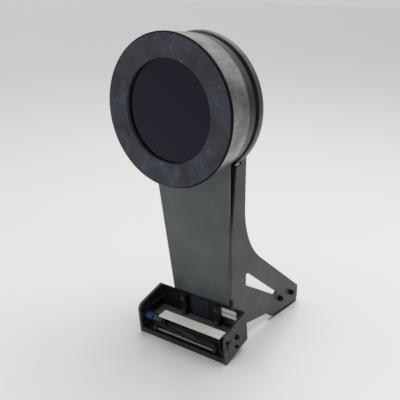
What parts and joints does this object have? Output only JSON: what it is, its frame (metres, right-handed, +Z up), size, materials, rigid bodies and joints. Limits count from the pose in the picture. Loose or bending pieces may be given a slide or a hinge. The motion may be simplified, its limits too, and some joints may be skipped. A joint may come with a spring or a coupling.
{
  "type": "photo enlarger lamp head",
  "caption": "Round lamp head with a dark glass and turning focus drum on a leaning column between perforated side plates, with a shallow film tray at the foot.",
  "frame": {"origin": "middle of the object's bounding box, on the surface it stands on", "axes": "+Z up, the head looks along -Y, +X to the right of someone who stands in front of the glass and looks at it"},
  "size_m": [0.16, 0.206, 0.3632],
  "materials": {
    "bezel_black": "satin black paint, scuffed",
    "drum_satin": "dark anodised, satin",
    "barrel_dark": "dark anodised",
    "black_alloy": "matt black anodised",
    "column_paint": "semi-gloss slate grey",
    "plate_paint": "satin dark grey",
    "inner_black": "matt black",
    "tray_black": "semi-gloss black",
    "tray_grey": "satin grey",
    "shelf_grey": "satin grey",
    "platen_white": "gloss off-white",
    "zinc_steel": "zinc plated",
    "black_steel": "black oxide",
    "roller_chrome": "polished",
    "rubber_black": "matt",
    "knob_blue": "gloss",
    "bush_black": "matt",
    "socket_cream": "matt",
    "glass_dark": "smoked, polished",
    "lens_glass": "polished",
    "bulb_opal": "opal",
    "nameplate_blue": "satin",
    "label_cream": "matt",
    "lead_insulation": "matt"
  },
  "bodies": {
    "stand": {"condenser_front": "lens_glass", "condenser_rear": "lens_glass", "condenser_retainer": "black_alloy", "condenser_spacer": "black_alloy", "cover_screws": "black_steel", "cross_web": "inner_black", "data_label_blank": "label_cream", "flange_screws": "black_steel", "foot_nuts": "zinc_steel", "foot_screws": "black_steel", "front_panel": "column_paint", "head_block_left": "black_alloy", "head_block_right": "black_alloy", "head_block_screws": "black_steel", "heat_glass": "lens_glass", "heat_glass_ring": "black_alloy", "lamp_bulb": "bulb_opal", "lamp_leads": "lead_insulation", "lamp_socket": "socket_cream", "light_seal_ring": "rubber_black", "mid_barrel": "barrel_dark", "mount_post_left": "tray_black", "mount_post_right": "tray_black", "mount_post_screws": "zinc_steel", "nameplate_blank": "nameplate_blue", "panel_bracket_left": "inner_black", "panel_bracket_right": "inner_black", "panel_screws": "black_steel", "platen_bushes": "bush_black", "power_inlet": "bush_black", "rear_cover": "plate_paint", "rear_flange": "barrel_dark", "rear_foot_left": "rubber_black", "rear_foot_right": "rubber_black", "reflector": "roller_chrome", "roller_brackets": "black_alloy", "side_plate_left": "plate_paint", "side_plate_right": "plate_paint", "socket_screws": "zinc_steel", "tie_bars": "inner_black", "tray_channel": "tray_black", "tray_end_left": "tray_grey", "tray_end_right": "tray_grey", "tray_end_screws": "black_steel", "tray_shelf": "shelf_grey"},
    "focus_carrier": {"front_bezel": "bezel_black", "front_glass": "glass_dark", "glass_gasket": "rubber_black", "glass_retainer": "black_alloy", "focus_sleeve": "black_alloy", "sleeve_key": "zinc_steel", "bezel_screws": "zinc_steel"},
    "focus_drum": {"focus_drum": "drum_satin"},
    "platen": {"platen_bar": "platen_white", "platen_arms": "black_steel", "platen_rivets": "zinc_steel", "platen_shaft": "black_steel", "thumb_knob": "knob_blue", "platen_spring": "zinc_steel"},
    "roller": {"film_roller": "roller_chrome"}
  },
  "joints": [
    {"name": "focus_slide", "type": "slide", "parent": "stand", "child": "focus_carrier", "axis": [0, -1, 0], "range_m": [0, 0.008]},
    {"name": "focus_turn", "type": "hinge", "parent": "focus_carrier", "child": "focus_drum", "pos_m": [0, -0.085, 0.2832], "axis": [0, -1, 0], "range_deg": [0, 240]},
    {"name": "platen_tilt", "type": "hinge", "parent": "stand", "child": "platen", "pos_m": [0, -0.07525, 0.02209], "axis": [1, 0, 0], "range_deg": [-70, 45]},
    {"name": "roller_spin", "type": "hinge", "parent": "stand", "child": "roller", "pos_m": [0, -0.07546, 0.00777], "axis": [1, 0, 0], "continuous": true}
  ],
  "couplings": [
    {"joint": "focus_slide", "follows": "focus_turn", "m_per_rad": 0.0019}
  ]
}
